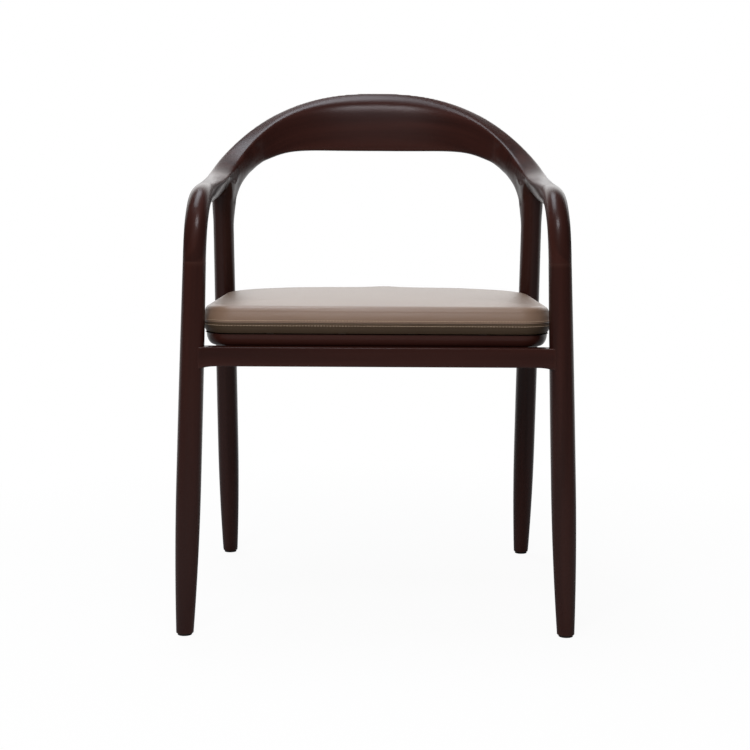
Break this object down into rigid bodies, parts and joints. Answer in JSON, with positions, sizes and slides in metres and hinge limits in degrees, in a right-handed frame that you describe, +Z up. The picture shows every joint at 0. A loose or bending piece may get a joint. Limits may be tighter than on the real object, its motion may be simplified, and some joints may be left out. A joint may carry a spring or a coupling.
{
  "type": "armchair",
  "caption": "Low-backed dining armchair whose arms and back are one carried horseshoe rail of dark wood, on round legs, with a crowned leather seat.",
  "frame": {"origin": "middle of the chair's bounding box, on the floor under the four glides", "axes": "+Z up, the chair faces -Y, +X to the right as seen from the front"},
  "size_m": [0.5578, 0.5183, 0.7786],
  "materials": {
    "dark_wood": "satin, stained nearly black brown",
    "leather_top": "satin, taupe brown",
    "leather_border": "satin, olive brown",
    "foam": "matt open-cell foam",
    "plywood": "raw birch plywood",
    "dowel_wood": "raw beech",
    "steel": "zinc plated",
    "insert_brass": "plain",
    "glide_plastic": "matt black"
  },
  "bodies": {
    "root": {"crest_rail": "dark_wood", "arm_left": "dark_wood", "arm_right": "dark_wood", "front_leg_left": "dark_wood", "front_leg_right": "dark_wood", "rear_leg_left": "dark_wood", "rear_leg_right": "dark_wood", "front_rail": "dark_wood", "rear_rail": "dark_wood", "seat_bearer_left": "dark_wood", "seat_bearer_right": "dark_wood", "seat_shell": "dark_wood", "seat_board": "plywood", "seat_foam": "foam", "seat_cover_top": "leather_top", "seat_cover_border": "leather_border", "seat_staples": "steel", "board_screws": "steel", "seat_inserts": "insert_brass", "seat_bolts": "steel", "seat_bolt_washers": "steel", "bearer_dowels": "dowel_wood", "crest_dowels": "dowel_wood", "arm_dowels": "dowel_wood", "leg_dowels": "dowel_wood", "glide_front_left": "glide_plastic", "glide_front_right": "glide_plastic", "glide_rear_left": "glide_plastic", "glide_rear_right": "glide_plastic", "glide_nails": "steel"}
  },
  "joints": []
}
